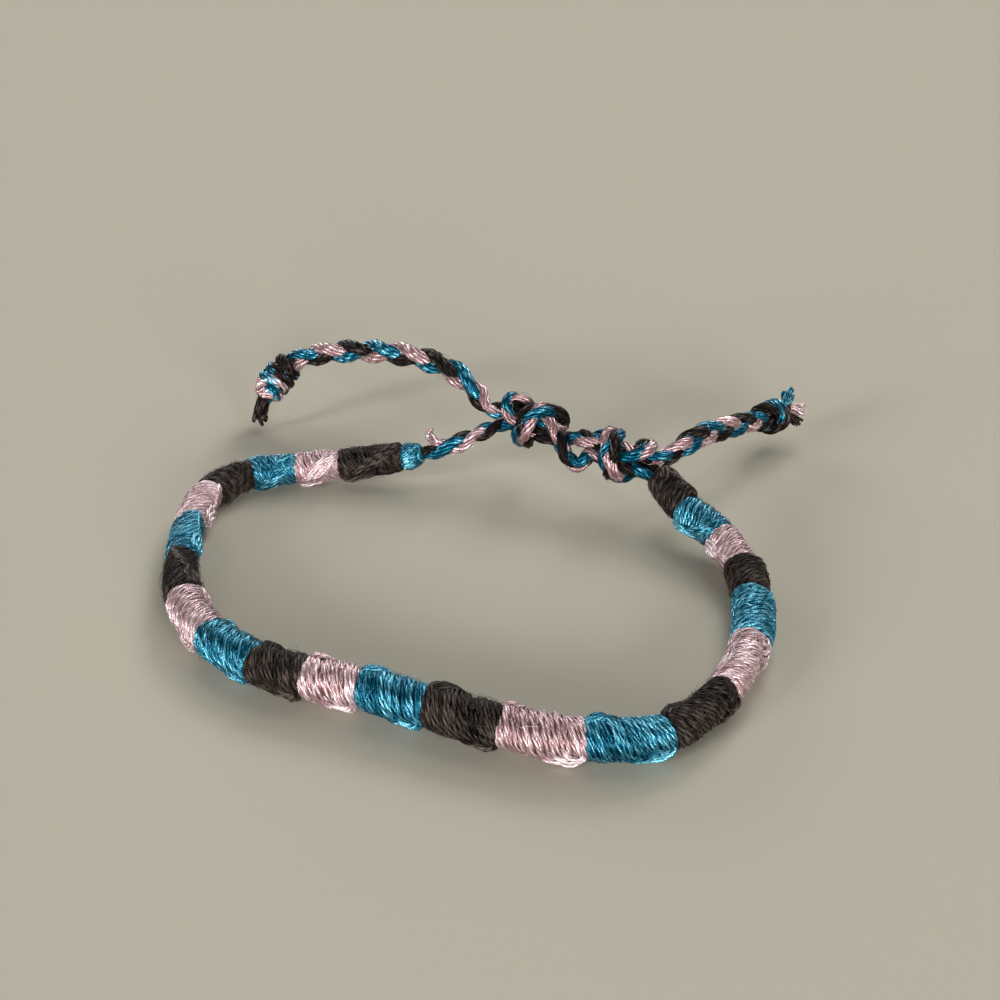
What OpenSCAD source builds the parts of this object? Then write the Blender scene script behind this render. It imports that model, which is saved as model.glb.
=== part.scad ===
// Woven friendship bracelet: a round core wrapped in short coloured sections,
// closed at the back by two braided ties that are knotted round each other.
// It lies on the surface z = 0, and the origin is under the middle of the wrapped band.

/* [Wrapped band] */
// Thickness of all wrapped sections against the modelled one
band_fullness = 1.0; // [0.9:0.02:1.04]
// Height of the spiral ridge of knots on each section
ridge_h = 0.3; // [0.2:0.05:0.4]
// Half width of the ridge round the section, in degrees
ridge_w = 30; // [20:1:45]
// How far a section's shoulders draw in, as a share of its radius
shoulder_drop = 0.13; // [0:0.01:0.2]
// Gap between one wrapped section and the next
section_gap = 0.08; // [0.04:0.01:0.2]
// Diameter of the core that the sections are wrapped round
core_d = 2.3; // [2:0.1:2.4]
// Clearance between the core and the sections round it
core_clearance = 0.1; // [0.05:0.01:0.15]

/* [Ties] */
// Thickness of the ties where they are pulled tight in the closing knots
knotted_d = 1.6; // [1.3:0.05:1.66]
// Spacing of the cords inside a closing knot, against the table of its turns
knot_scale = 0.92; // [0.92:0.01:0.96]

/* [Fineness] */
// Sides of a wrapped section
section_sides = 14; // [12:2:20]
// Sides of the core and the ties
cord_sides = 8; // [8:1:12]
// Rings along the outside of a wrapped section
section_rings = 7; // [5:1:9]

/* [Hidden] */
COLOURS = ["teal", "brown", "pink"];
PAINT = ["#2c8296", "#4a3b36", "#d99c94"];

// The band's centreline, one row at each end of a section: x, y, z, diameter there
BAND = [
    [ -5.2,  25.7, 4.25, 2.5],
    [ -7.8,  25.7, 3.6, 3.7],
    [-15.9,  25.7, 2.64, 4.1],
    [-21.6,  25.2, 2.24, 4.1],
    [-27.2,  23.7, 2.24, 4.1],
    [-31.0,  18.7, 2.19, 4.1],
    [-31.4,  11.3, 1.97, 3.9],
    [-30.2,   3.4, 1.97, 3.7],
    [-27.7,  -4.6, 2.24, 3.95],
    [-23.3, -11.2, 2.34, 4.1],
    [-17.9, -15.4, 2.34, 4.1],
    [-12.8, -17.6, 2.34, 4.1],
    [ -7.6, -19.2, 2.34, 4.1],
    [ -1.5, -21.6, 2.34, 4.1],
    [  4.9, -24.2, 2.29, 3.95],
    [ 12.0, -25.7, 2.17, 3.85],
    [ 19.1, -24.6, 1.97, 3.45],
    [ 25.1, -18.9, 1.97, 3.45],
    [ 28.9, -11.6, 2.02, 3.75],
    [ 30.7,  -3.9, 1.99, 3.95],
    [ 30.8,   1.7, 2.29, 3.95],
    [ 29.5,   6.4, 3.15, 4.1],
    [ 26.2,  10.7, 4.4, 4.1],
    [ 23.5,  16.0, 5.9, 3.5],
];
SECTIONS = len(BAND) - 1;
SECTION_NAMES = [for (i = [0:SECTIONS - 1])
    str("wrap_", i < 9 ? "0" : "", i + 1, "_", COLOURS[i % 3])];

// Where the ridge starts and ends each section, in degrees from the outer side over the top
RIDGES = [
    [ 95, 200],
    [ 75, 265],
    [110, 265],
    [ 90, 290],
    [100, 270],
    [140, 195],
    [118, 172],
    [ 60, 150],
    [150, 350],
    [150, 325],
    [130, 335],
    [120, 325],
    [100, 325],
    [100, 325],
    [125, 342],
    [ 95, 342],
    [100, 340],
    [200, 380],
    [350, 380],
    [330, 390],
    [150, 200],
    [140, 230],
    [ 60, 100],
];
// A section thinner than this has a lower ridge
FULL_D = 4;
// How late the shoulders turn in, as a power of the distance from the middle
SHOULDER_POWER = 5;
THIN_WALL = 0.25;
BORE_RINGS = 3;
// The core begins inside the first section, thinner than the sections there
CORE_FROM = 0.5;
CORE_COVER = 0.8;
// Rows of a closing knot further apart than this get a ring between them
FAR_ROWS = 1.3;

// Middles of the two closing knots
LEFT_KNOT = [9, 26.6, 7.8];
RIGHT_KNOT = [18.9, 19.5, 7];
LEFT_ROLL = 20;
RIGHT_ROLL = 40;

// Turns of a closing knot: along the knot, out from its axis, degrees round it
KNOT_TURNS = [
    [ 3.4, 1.15,  30],
    [ 1.5, 1.15,  30],
    [-0.3, 1.15,  30],
    [-1.6, 1.15,  30],
    [-2.6, 1.25,  31],
    [-3.4, 1.65,  38],
    [-3.85, 2.3,  55],
    [-3.7, 2.85,  80],
    [-3.1, 3.05, 110],
    [-2.4, 3.15, 145],
    [-1.8, 2.95, 180],
    [-1.3, 2.85, 220],
    [-0.8, 3.15, 270],
    [-0.3, 2.85, 320],
    [ 0.1, 2.95, 360],
    [ 0.5, 3.15, 400],
    [ 1.1, 2.95, 440],
    [ 1.8, 3.15, 470],
    [ 2.7, 3.25, 489],
    [ 3.6, 2.95, 500],
    [3.95, 2.2,  506],
    [ 3.6, 1.45, 509],
    [ 2.7, 1.15, 510],
    [ 1.4, 1.15, 510],
    [-0.4, 1.15, 510],
    [-2.4, 1.15, 510],
    [-3.9, 1.5,  510],
];

// The other tie's straight way through a closing knot, in the same columns
KNOT_CORE = [
    [-4.0, 1.15, -90],
    [-1.5, 1.15, -90],
    [ 1.5, 1.15, -90],
    [ 3.6, 1.15, -90],
];

// Free stretches of the left tie: x, y, z, diameter
LEFT_START = [
    [-5.03, 25.7, 4.25, 1.9],
    [-3.2, 25.8, 4.7, 2.8],
    [-1.0, 26.0, 5.3, 3.0],
    [ 1.4, 26.8, 6.1, 2.4],
    [ 3.6, 27.8, 6.65, 1.6],
];
LEFT_BETWEEN = [
    [12.7, 24.4, 6.4, 1.6],
    [13.9, 23.6, 7.3, 1.6],
    [14.9, 22.1, 8.1, 1.6],
];
LEFT_TAIL = [
    [24.5, 18.6, 6.8, 1.8],
    [26.2, 19.8, 7.3, 2.5],
    [28.1, 21.5, 7.7, 3.0],
    [29.8, 23.4, 7.7, 3.1],
    [31.6, 25.6, 7.2, 3.1],
    [34.4, 28.6, 6.5, 3.1],
    [37.0, 31.3, 5.9, 3.1],
    [38.8, 32.9, 5.5, 2.9],
];

// Free stretches of the right tie
RIGHT_START = [
    [23.4, 16.25, 5.95, 1.7],
    [22.9, 16.7, 5.8, 1.6],
];
RIGHT_BETWEEN = [
    [14.8, 20.2, 5.0, 1.6],
    [13.2, 21.3, 5.6, 1.6],
    [12.3, 22.5, 7.2, 1.6],
];
RIGHT_TAIL = [
    [  3.3, 30.6,  8.3, 2.4],
    [  1.5, 32.8,  9.9, 3.1],
    [ -1.2, 34.8, 11.7, 3.4],
    [ -4.2, 37.0, 12.4, 3.4],
    [ -7.6, 39.0, 12.6, 3.4],
    [-11.0, 41.0, 12.3, 3.4],
    [-14.8, 43.2, 11.7, 3.4],
    [-18.7, 45.0, 10.9, 3.4],
    [-22.3, 46.5, 9.8, 3.3],
];

// Knots at the ends of the ties, and the trimmed strands that leave them
LEFT_END = [
    [38.9, 33.0, 5.45, 2.9],
    [39.8, 33.8, 5.2, 4.0],
    [40.9, 35.0, 4.9, 5.2],
    [42.2, 36.5, 4.6, 4.7],
    [43.5, 37.9, 4.4, 5.2],
    [44.6, 39.1, 4.3, 4.4],
    [45.4, 40.0, 4.3, 2.8],
];
LEFT_ENDS = [
    [[44.8, 39.4, 4.6, 1.6], [45.5, 41.0, 5.3, 1.9], [45.8, 42.4, 5.9, 2.2]],
    [[44.8, 39.2, 4.3, 1.6], [46.2, 39.8, 4.3, 1.7], [47.6, 39.6, 4.2, 2.0]],
    [[44.6, 38.8, 4.0, 1.6], [45.8, 38.2, 3.5, 1.5], [46.6, 37.3, 3.1, 1.6]],
];
RIGHT_END = [
    [-22.4, 46.54, 9.75, 3.2],
    [-23.4, 46.95, 9.45, 3.6],
    [-24.9, 47.3,  8.7, 4.1],
    [-26.5, 46.9,  7.4, 4.5],
    [-27.7, 46.3,  6.3, 4.9],
    [-28.8, 45.4,  5.1, 5.0],
    [-29.5, 44.3,  4.1, 3.4],
];
RIGHT_ENDS = [
    [[-29.3, 44.6, 4.4, 2.3], [-29.6, 43.4, 3.3, 2.3], [-29.7, 42.4, 2.4, 2.4], [-29.7, 41.4, 1.5, 2.3]],
];

function unit(v) = v / norm(v);
function place(row) = [row[0], row[1], row[2]];

// A smooth curve through rows, at a place counted in rows from the first
function row_at(rows, i) = i < 0 ? 2 * rows[0] - rows[1]
    : i > len(rows) - 1 ? 2 * rows[len(rows) - 1] - rows[len(rows) - 2]
    : rows[i];
function through(a, b, c, d, t) = 0.5 * (2 * b + (c - a) * t
    + (2 * a - 5 * b + 4 * c - d) * t * t + (3 * b - a - 3 * c + d) * t * t * t);
function along(rows, s) = let (i = min(floor(s), len(rows) - 2))
    through(row_at(rows, i - 1), row_at(rows, i), row_at(rows, i + 1), row_at(rows, i + 2), s - i);
function heading(rows, s) = let (e = 0.05, last = len(rows) - 1)
    unit(place(along(rows, min(s + e, last))) - place(along(rows, max(s - e, 0))));

// Triangles between rings of points, ring after ring
function ring_faces(rings, sides, closed) = [
    for (j = [0:rings - (closed ? 1 : 2)], k = [0:sides - 1])
    let (a = j * sides + k, b = j * sides + (k + 1) % sides,
        c = ((j + 1) % rings) * sides + (k + 1) % sides, d = ((j + 1) % rings) * sides + k)
    for (face = [[a, c, b], [a, d, c]]) face
];

// A ring's directions are carried along the route without twisting
function first_side(t) = unit(cross(t, abs(t[2]) < 0.8 ? [0, 0, 1] : [1, 0, 0]));
function squared(n, t) = unit(n - (n * t) * t);
function carried(headings) = let (last = len(headings) - 1) [
    for (i = 0, n = first_side(headings[0]); i <= last;
        i = i + 1, n = squared(n, headings[min(i, last)]))
    n
];

// A round cord through the places s of a route, whose fourth column is the diameter
module cord(rows, s, sides) {
    headings = [for (x = s) heading(rows, x)];
    across = carried(headings);
    points = [for (i = [0:len(s) - 1])
        let (row = along(rows, s[i]), u = across[i], v = cross(headings[i], u))
        for (k = [0:sides - 1])
        place(row) + row[3] / 2 * (cos(360 * k / sides) * u + sin(360 * k / sides) * v)];
    last = len(s) - 1;
    caps = [[for (k = [0:sides - 1]) k], [for (k = [sides - 1:-1:0]) last * sides + k]];
    polyhedron(points, concat(ring_faces(len(s), sides, false), caps));
}

// Turns a knot's table into places round its middle
KNOT_AXIS = unit(RIGHT_KNOT - LEFT_KNOT);
KNOT_FRONT = unit([KNOT_AXIS[1], -KNOT_AXIS[0], 0]);
KNOT_UP = cross(KNOT_FRONT, KNOT_AXIS);
function knot_rows(table, middle, way, roll) = [
    for (row = table)
    let (p = middle + knot_scale * (way * row[0] * KNOT_AXIS
        + row[1] * (cos(row[2] + roll) * KNOT_FRONT + sin(row[2] + roll) * KNOT_UP)))
    [p[0], p[1], p[2], knotted_d]
];

LEFT_TIE = concat(LEFT_START, knot_rows(KNOT_CORE, LEFT_KNOT, 1, LEFT_ROLL), LEFT_BETWEEN,
    knot_rows(KNOT_TURNS, RIGHT_KNOT, -1, RIGHT_ROLL), LEFT_TAIL);
RIGHT_TIE = concat(RIGHT_START, knot_rows(KNOT_CORE, RIGHT_KNOT, -1, RIGHT_ROLL), RIGHT_BETWEEN,
    knot_rows(KNOT_TURNS, LEFT_KNOT, 1, LEFT_ROLL), RIGHT_TAIL);

// Ring places: one at each row, and one more between rows of a knot's turns that lie far apart
function step(rows, i) = norm(place(rows[i + 1]) - place(rows[i]));
function ring_places(rows, before, turns) = [
    for (i = [0:len(rows) - 1])
    each (i >= before && i < before + turns - 1 && step(rows, i) > FAR_ROWS ? [i, i + 0.5] : [i])
];

// Directions across the band: outwards from the loop, and up
function band_out(s) = unit(cross(heading(BAND, s), [0, 0, 1]));
function band_up(s) = cross(band_out(s), heading(BAND, s));
function ridge_at(i, t) = RIDGES[i][0] + (RIDGES[i][1] - RIDGES[i][0]) * t;
function section_r(i, t, angle) = let (
        d = along(BAND, i + t)[3] * band_fullness,
        off = (angle - ridge_at(i, t) + 540) % 360 - 180)
    d / 2 * (1 - shoulder_drop * pow(abs(2 * t - 1), SHOULDER_POWER))
    + ridge_h * min(1, d / FULL_D) * exp(-pow(off / ridge_w, 2));
function bore_r(i, t) = min(core_d / 2 + core_clearance,
    section_r(i, t, ridge_at(i, t) + 180) - THIN_WALL);
function section_ring(i, t, bore) = [
    for (k = [section_sides - 1:-1:0])
    let (angle = 360 * k / section_sides, r = bore ? bore_r(i, t) : section_r(i, t, angle))
    place(along(BAND, i + t)) + r * (cos(angle) * band_out(i + t) + sin(angle) * band_up(i + t))
];

module wrap(i) {
    span = norm(place(BAND[i + 1]) - place(BAND[i]));
    edge = section_gap / 2 / span;
    outside = [for (j = [0:section_rings - 1])
        let (x = j / (section_rings - 1)) edge + (1 - 2 * edge) * (0.5 - 0.5 * cos(180 * x))];
    inside = [for (j = [0:BORE_RINGS - 1]) 1 - edge - (1 - 2 * edge) * j / (BORE_RINGS - 1)];
    points = concat(
        [for (t = outside) each section_ring(i, t, false)],
        [for (t = inside) each section_ring(i, t, true)]);
    color(PAINT[i % 3])
        polyhedron(points, ring_faces(section_rings + BORE_RINGS, section_sides, true));
}

// The strands that the wraps cover, as one round bundle
CORE_ROWS = [for (row = BAND) [row[0], row[1], row[2], min(core_d, row[3] - CORE_COVER)]];
module core_cord() {
    color("#6d5a54")
        cord(CORE_ROWS, [CORE_FROM, for (i = [1:0.5:SECTIONS - 0.5]) i], cord_sides);
}

module tie_left() {
    before = len(LEFT_START) + len(KNOT_CORE) + len(LEFT_BETWEEN);
    color(PAINT[0])
        cord(LEFT_TIE, ring_places(LEFT_TIE, before, len(KNOT_TURNS)), cord_sides);
}

module tie_right() {
    before = len(RIGHT_START) + len(KNOT_CORE) + len(RIGHT_BETWEEN);
    color(PAINT[2])
        cord(RIGHT_TIE, ring_places(RIGHT_TIE, before, len(KNOT_TURNS)), cord_sides);
}

module end_knot(head, ends) {
    cord(head, [for (i = [0:len(head) - 1]) i], cord_sides + 2);
    for (strand = ends)
        cord(strand, [for (i = [0:len(strand) - 1]) i], cord_sides);
}

module end_knot_left() {
    color(PAINT[0])
        end_knot(LEFT_END, LEFT_ENDS);
}

module end_knot_right() {
    color(PAINT[1])
        end_knot(RIGHT_END, RIGHT_ENDS);
}

core_cord();
for (i = [0:SECTIONS - 1])
    wrap(i);
tie_left();
tie_right();
end_knot_left();
end_knot_right();
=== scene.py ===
"""Looks of a woven friendship bracelet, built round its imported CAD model.

The band's sections are wound in real filaments of thread with their spiral ridge of hitches, and
the two ties are plaits of three strands that are knotted round each other. Tables are in
millimetres; meshes are in metres.
"""

import logging
import math
from dataclasses import dataclass, field
from enum import Enum

import bmesh
import bpy
import numpy as np
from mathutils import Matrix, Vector


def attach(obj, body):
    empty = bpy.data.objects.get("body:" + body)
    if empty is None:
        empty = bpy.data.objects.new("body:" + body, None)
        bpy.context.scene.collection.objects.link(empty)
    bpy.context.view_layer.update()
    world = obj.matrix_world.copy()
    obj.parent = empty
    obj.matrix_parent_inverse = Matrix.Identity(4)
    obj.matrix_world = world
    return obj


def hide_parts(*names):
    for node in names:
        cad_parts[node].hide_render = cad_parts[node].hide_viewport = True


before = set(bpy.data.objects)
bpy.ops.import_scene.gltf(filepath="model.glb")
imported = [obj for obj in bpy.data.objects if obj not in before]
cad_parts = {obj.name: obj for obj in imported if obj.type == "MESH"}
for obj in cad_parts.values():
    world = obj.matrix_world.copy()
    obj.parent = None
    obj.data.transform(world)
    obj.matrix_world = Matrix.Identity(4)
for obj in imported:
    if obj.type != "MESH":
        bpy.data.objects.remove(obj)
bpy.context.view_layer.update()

MM = 0.001
LOG = logging.getLogger("bracelet")
UP = (0.0, 0.0, 1.0)

# Range from which the first angle of a twist or of lumps is drawn, in radians
PHASES = (0, 6)

# How round the swept tubes are: 4 sides and 2 more for each step
THREAD_STEPS = 1
SLEEVE_STEPS = 6
HAIR_STEPS = 0

Span = tuple[float, float]
Point = tuple[float, float, float]
Row = tuple[float, float, float, float]
Rgb = tuple[float, float, float]
Finishes = list[bpy.types.Material]

# The band's centreline, one row at each end of a section: x, y, z, diameter there
BAND = [
    (-5.2, 25.7, 4.25, 2.5),
    (-7.8, 25.7, 3.6, 3.7),
    (-15.9, 25.7, 2.64, 4.1),
    (-21.6, 25.2, 2.24, 4.1),
    (-27.2, 23.7, 2.24, 4.1),
    (-31, 18.7, 2.19, 4.1),
    (-31.4, 11.3, 1.97, 3.9),
    (-30.2, 3.4, 1.97, 3.7),
    (-27.7, -4.6, 2.24, 3.95),
    (-23.3, -11.2, 2.34, 4.1),
    (-17.9, -15.4, 2.34, 4.1),
    (-12.8, -17.6, 2.34, 4.1),
    (-7.6, -19.2, 2.34, 4.1),
    (-1.5, -21.6, 2.34, 4.1),
    (4.9, -24.2, 2.29, 3.95),
    (12, -25.7, 2.17, 3.85),
    (19.1, -24.6, 1.97, 3.45),
    (25.1, -18.9, 1.97, 3.45),
    (28.9, -11.6, 2.02, 3.75),
    (30.7, -3.9, 1.99, 3.95),
    (30.8, 1.7, 2.29, 3.95),
    (29.5, 6.4, 3.15, 4.1),
    (26.2, 10.7, 4.4, 4.1),
    (23.5, 16, 5.9, 3.5),
]

# Where the ridge starts and ends each section, in degrees from the outer side over the top
RIDGES = [
    (95, 200),
    (75, 265),
    (110, 265),
    (90, 290),
    (100, 270),
    (140, 195),
    (118, 172),
    (60, 150),
    (150, 350),
    (150, 325),
    (130, 335),
    (120, 325),
    (100, 325),
    (100, 325),
    (125, 342),
    (95, 342),
    (100, 340),
    (200, 380),
    (350, 380),
    (330, 390),
    (150, 200),
    (140, 230),
    (60, 100),
]

# Middles of the two closing knots, and how far each is rolled round its axis in degrees
LEFT_KNOT = (9, 26.6, 7.8)
RIGHT_KNOT = (18.9, 19.5, 7)
LEFT_ROLL = 20
RIGHT_ROLL = 40

# Scale of the closing knots' tables, and the ties' diameter in them
KNOT_SCALE = 0.92
KNOTTED_D = 1.6

# How far from its middle a closing knot holds the ties, and over what distance it lets go
KNOT_REACH = 5.6
KNOT_EASE = 1.8

# Turns of a closing knot: along the knot, out from its axis, degrees round it
KNOT_TURNS = [
    (3.4, 1.15, 30),
    (1.5, 1.15, 30),
    (-0.3, 1.15, 30),
    (-1.6, 1.15, 30),
    (-2.6, 1.25, 31),
    (-3.4, 1.65, 38),
    (-3.85, 2.3, 55),
    (-3.7, 2.85, 80),
    (-3.1, 3.05, 110),
    (-2.4, 3.15, 145),
    (-1.8, 2.95, 180),
    (-1.3, 2.85, 220),
    (-0.8, 3.15, 270),
    (-0.3, 2.85, 320),
    (0.1, 2.95, 360),
    (0.5, 3.15, 400),
    (1.1, 2.95, 440),
    (1.8, 3.15, 470),
    (2.7, 3.25, 489),
    (3.6, 2.95, 500),
    (3.95, 2.2, 506),
    (3.6, 1.45, 509),
    (2.7, 1.15, 510),
    (1.4, 1.15, 510),
    (-0.4, 1.15, 510),
    (-2.4, 1.15, 510),
    (-3.9, 1.5, 510),
]

# The other tie's straight way through a closing knot, in the same columns
KNOT_CORE = [
    (-4, 1.15, -90),
    (-1.5, 1.15, -90),
    (1.5, 1.15, -90),
    (3.6, 1.15, -90),
]

# Free stretches of the left tie: x, y, z, diameter
LEFT_START = [
    (-5.03, 25.7, 4.25, 1.9),
    (-3.2, 25.8, 4.7, 2.8),
    (-1, 26, 5.3, 3),
    (1.4, 26.8, 6.1, 2.4),
    (3.6, 27.8, 6.65, 1.6),
]
LEFT_BETWEEN = [
    (12.7, 24.4, 6.4, 1.6),
    (13.9, 23.6, 7.3, 1.6),
    (14.9, 22.1, 8.1, 1.6),
]
LEFT_TAIL = [
    (24.5, 18.6, 6.8, 1.8),
    (26.2, 19.8, 7.3, 2.5),
    (28.1, 21.5, 7.7, 3),
    (29.8, 23.4, 7.7, 3.1),
    (31.6, 25.6, 7.2, 3.1),
    (34.4, 28.6, 6.5, 3.1),
    (37, 31.3, 5.9, 3.1),
    (38.8, 32.9, 5.5, 2.9),
]

# Free stretches of the right tie
RIGHT_START = [
    (23.4, 16.25, 5.95, 1.7),
    (22.9, 16.7, 5.8, 1.6),
]
RIGHT_BETWEEN = [
    (14.8, 20.2, 5, 1.6),
    (13.2, 21.3, 5.6, 1.6),
    (12.3, 22.5, 7.2, 1.6),
]
RIGHT_TAIL = [
    (3.3, 30.6, 8.3, 2.4),
    (1.5, 32.8, 9.9, 3.1),
    (-1.2, 34.8, 11.7, 3.4),
    (-4.2, 37, 12.4, 3.4),
    (-7.6, 39, 12.6, 3.4),
    (-11, 41, 12.3, 3.4),
    (-14.8, 43.2, 11.7, 3.4),
    (-18.7, 45, 10.9, 3.4),
    (-22.3, 46.5, 9.8, 3.3),
]

# The knot at the end of each tie and its trimmed strands: x, y, z, diameter
LEFT_END = [
    (38.9, 33, 5.45, 2.9),
    (39.8, 33.8, 5.2, 4),
    (40.9, 35, 4.9, 5.2),
    (42.2, 36.5, 4.6, 4.7),
    (43.5, 37.9, 4.4, 5.2),
    (44.6, 39.1, 4.3, 4.4),
    (45.4, 40, 4.3, 2.8),
]
LEFT_ENDS = [
    [(44.8, 39.4, 4.6, 1.6), (45.5, 41, 5.3, 1.9), (45.8, 42.4, 5.9, 2.2)],
    [(44.8, 39.2, 4.3, 1.6), (46.2, 39.8, 4.3, 1.7), (47.6, 39.6, 4.2, 2)],
    [(44.6, 38.8, 4, 1.6), (45.8, 38.2, 3.5, 1.5), (46.6, 37.3, 3.1, 1.6)],
]
RIGHT_END = [
    (-22.4, 46.54, 9.75, 3.2),
    (-23.4, 46.95, 9.45, 3.6),
    (-24.9, 47.3, 8.7, 4.1),
    (-26.5, 46.9, 7.4, 4.5),
    (-27.7, 46.3, 6.3, 4.9),
    (-28.8, 45.4, 5.1, 5),
    (-29.5, 44.3, 4.1, 3.4),
]
RIGHT_ENDS = [
    [(-29.3, 44.6, 4.4, 2.3), (-29.6, 43.4, 3.3, 2.3), (-29.7, 42.4, 2.4, 2.4), (-29.7, 41.4, 1.5, 2.3)],
]

# The bit of pink strand that sticks up where the left tie leaves the band
TUFT = [
    (-3.2, 26.1, 4.9, 1.2),
    (-3.9, 26.0, 6.0, 1.3),
    (-4.3, 25.8, 6.8, 1.3),
    (-3.9, 25.5, 7.3, 1.2),
]


class Colour(Enum):
    """The three colours of thread, in the order in which they follow each other along the band."""

    TEAL = 0
    BROWN = 1
    PINK = 2


def unit(v: np.ndarray) -> np.ndarray:
    """Scales vectors, one a row, to length 1."""
    return v / np.linalg.norm(v, axis=-1, keepdims=True)


def smooth(x: np.ndarray) -> np.ndarray:
    """Eases a share from 0 to 1, level at both ends."""
    x = np.clip(x, 0.0, 1.0)
    return x * x * (3 - 2 * x)


def distances(line: np.ndarray) -> np.ndarray:
    """Measures how far along a line each of its places is."""
    return np.r_[0, np.cumsum(np.linalg.norm(np.diff(line, axis=0), axis=1))]


def read_off(at: np.ndarray, known: np.ndarray, rows: np.ndarray) -> np.ndarray:
    """Reads rows off at places between the known ones."""
    return np.column_stack([np.interp(at, known, column) for column in rows.T])


def set_round(
    line: np.ndarray, reach: np.ndarray | float, turn: np.ndarray, aside: np.ndarray, up: np.ndarray
) -> np.ndarray:
    """Moves the places of a line out from it.

    Args:
        line: the places.
        reach: how far each is moved.
        turn: the way it is moved, in radians from aside to up.
        aside: a direction across the line at each place.
        up: the other direction across it.

    Returns:
        The places moved.
    """
    return line + (reach * np.cos(turn))[:, None] * aside + (reach * np.sin(turn))[:, None] * up


class Route:
    """A smooth curve through rows of x, y, z and diameter, in millimetres."""

    fine_steps = 60
    heading_step = 0.05

    def __init__(self, rows: list[Row]) -> None:
        """Keeps the rows, with one more at each end to set the curve's direction there.

        Args:
            rows: what the curve runs through.
        """
        self.rows = np.array(rows, float)
        self.last = len(rows) - 1
        before = 2 * self.rows[0] - self.rows[1]
        after = 2 * self.rows[-1] - self.rows[-2]
        self.padded = np.vstack([before, self.rows, after])

    def at(self, s: np.ndarray) -> np.ndarray:
        """Finds places on the curve.

        Args:
            s: places counted in rows from the first.

        Returns:
            One row of x, y, z and diameter for each place.
        """
        s = np.atleast_1d(np.asarray(s, float))
        i = np.clip(np.floor(s).astype(int), 0, self.last - 1)
        t = (s - i)[:, None]
        a, b, c, d = (self.padded[i + k] for k in range(4))
        cubic = (3 * b - a - 3 * c + d) * t**3
        return 0.5 * (2 * b + (c - a) * t + (2 * a - 5 * b + 4 * c - d) * t**2 + cubic)

    def heading(self, s: np.ndarray) -> np.ndarray:
        """Finds the curve's direction.

        Args:
            s: places counted in rows from the first.

        Returns:
            One direction of length 1 for each place.
        """
        ahead = self.at(np.clip(s + self.heading_step, 0, self.last))
        behind = self.at(np.clip(s - self.heading_step, 0, self.last))
        return unit((ahead - behind)[:, :3])

    def evenly(self, spacing: float, passes: int) -> np.ndarray:
        """Resamples the curve at even distances and eases its tightest turns.

        Args:
            spacing: distance between places, in millimetres.
            passes: how many times each place is drawn to the mean of its neighbours.

        Returns:
            Rows of x, y, z and diameter.
        """
        fine = self.at(np.linspace(0, self.last, self.fine_steps * self.last))
        run = distances(fine[:, :3])
        places = np.linspace(0, run[-1], max(4, round(run[-1] / spacing)))
        even = read_off(places, run, fine)
        for _ in range(passes):
            even[1:-1] = even[1:-1] / 2 + (even[:-2] + even[2:]) / 4
        return even


@dataclass
class Filament:
    """One continuous filament of thread.

    Attributes:
        line: places on its middle, in millimetres.
        radius: its radius at each place.
        colour: its thread's colour.
        tone: its tone, one for all or one a place.
    """

    line: np.ndarray
    radius: np.ndarray
    colour: Colour
    tone: float | np.ndarray

    def cut(self, place: int) -> tuple["Filament", "Filament"]:
        """Cuts the filament in two.

        Args:
            place: number of the place where it is cut, which both parts keep.

        Returns:
            The part before the cut and the part after it.
        """
        tone = np.broadcast_to(self.tone, len(self.line))
        before, after = slice(None, place + 1), slice(place, None)
        return (
            Filament(self.line[before], self.radius[before], self.colour, tone[before]),
            Filament(self.line[after], self.radius[after], self.colour, tone[after]),
        )


def swept_mesh(
    name: str, filaments: list[Filament], resolution: int, finishes: Finishes
) -> bpy.types.Mesh:
    """Sweeps filaments into closed tubes in one mesh.

    The mesh has a UV map named lay, with the distance along the filament in millimetres and the
    share of the way round it, and an attribute named tone with each filament's tone, which carries
    painted shade and highlight as well as its own changes.

    Args:
        name: name of the mesh.
        filaments: what to sweep.
        resolution: how round the tubes are; they get 4 sides and 2 more for each step.
        finishes: the materials, in the order of Colour.

    Returns:
        The mesh, in metres.
    """
    sides = 4 + 2 * resolution
    curve = bpy.data.curves.new(name, "CURVE")
    curve.dimensions = "3D"
    curve.bevel_depth = 1.0
    curve.bevel_resolution = resolution
    for finish in finishes:
        curve.materials.append(finish)
    for filament in filaments:
        spline = curve.splines.new("POLY")
        count = len(filament.line)
        spline.points.add(count - 1)
        places = np.column_stack([filament.line * MM, np.ones(count)])
        spline.points.foreach_set("co", places.astype(np.float32).ravel())
        spline.points.foreach_set("radius", (filament.radius * MM).astype(np.float32))
        spline.material_index = filament.colour.value
        spline.use_smooth = True
    holder = bpy.data.objects.new(name, curve)
    bpy.context.scene.collection.objects.link(holder)
    depsgraph = bpy.context.evaluated_depsgraph_get()
    mesh = bpy.data.meshes.new_from_object(holder.evaluated_get(depsgraph))
    bpy.data.objects.remove(holder)
    bpy.data.curves.remove(curve)
    write_lay(mesh, filaments, sides)
    close_ends(mesh)
    return mesh


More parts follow.
